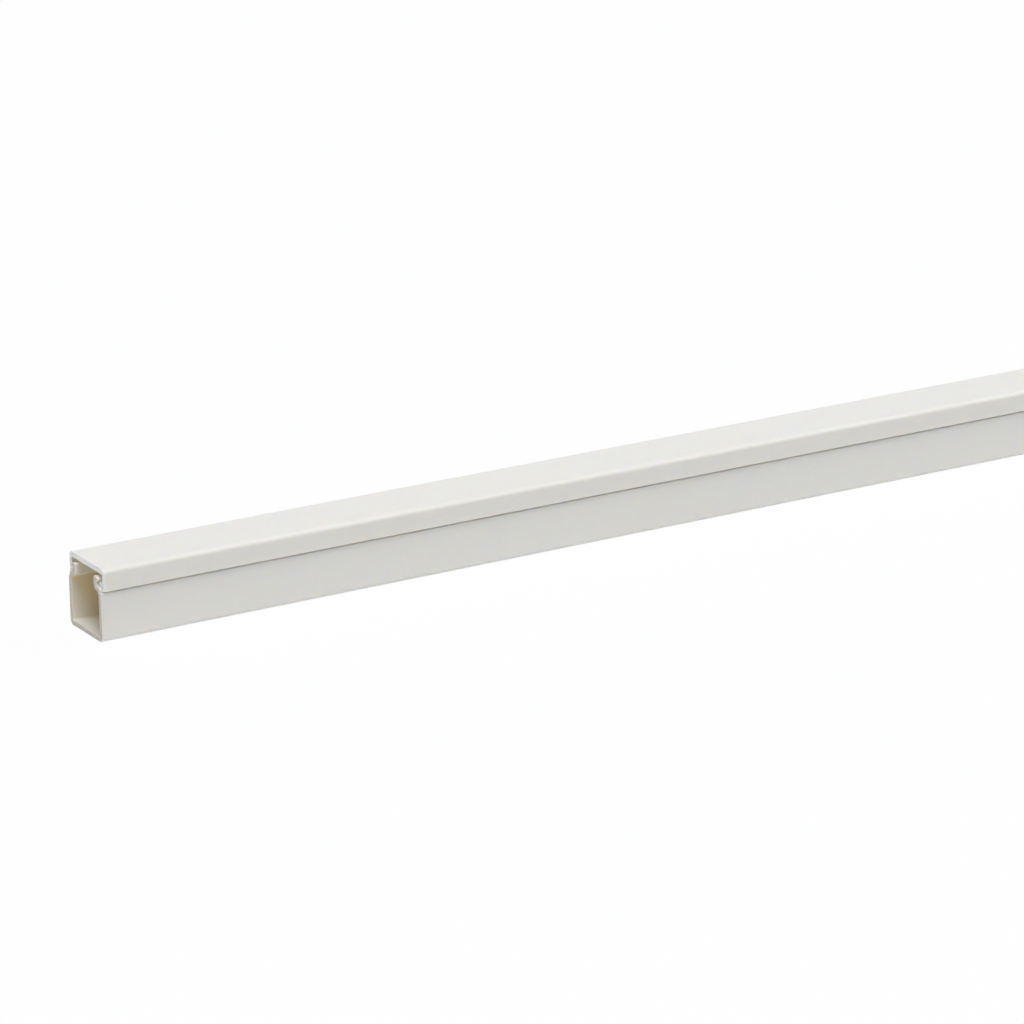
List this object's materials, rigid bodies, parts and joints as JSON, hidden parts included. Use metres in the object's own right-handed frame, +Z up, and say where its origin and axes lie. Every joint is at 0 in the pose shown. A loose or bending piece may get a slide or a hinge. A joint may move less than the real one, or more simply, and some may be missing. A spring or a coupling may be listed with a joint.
{
  "type": "cable trunking",
  "caption": "Straight square white PVC mini trunking for surface cable runs: an open channel with beaded necks, closed by a full-length clip-on lid that can slide along it.",
  "frame": {"origin": "middle of the flat underside of the base channel, halfway along its length", "axes": "+X along the length, from the end that the picture shows to the one that it cuts off; +Y across, from the front side to the back side; +Z up, from the underside to the lid"},
  "size_m": [2, 0.016, 0.016],
  "materials": {
    "base_pvc": "satin warm white rigid PVC, extruded, with sawn ends",
    "lid_pvc": "satin warm white rigid PVC, extruded, with sawn ends"
  },
  "bodies": {
    "base": {"base_channel": "base_pvc"},
    "lid": {"lid": "lid_pvc"}
  },
  "joints": [
    {"name": "lid_slide", "type": "slide", "parent": "base", "child": "lid", "axis": [1, 0, 0], "range_m": [-2, 2]}
  ]
}
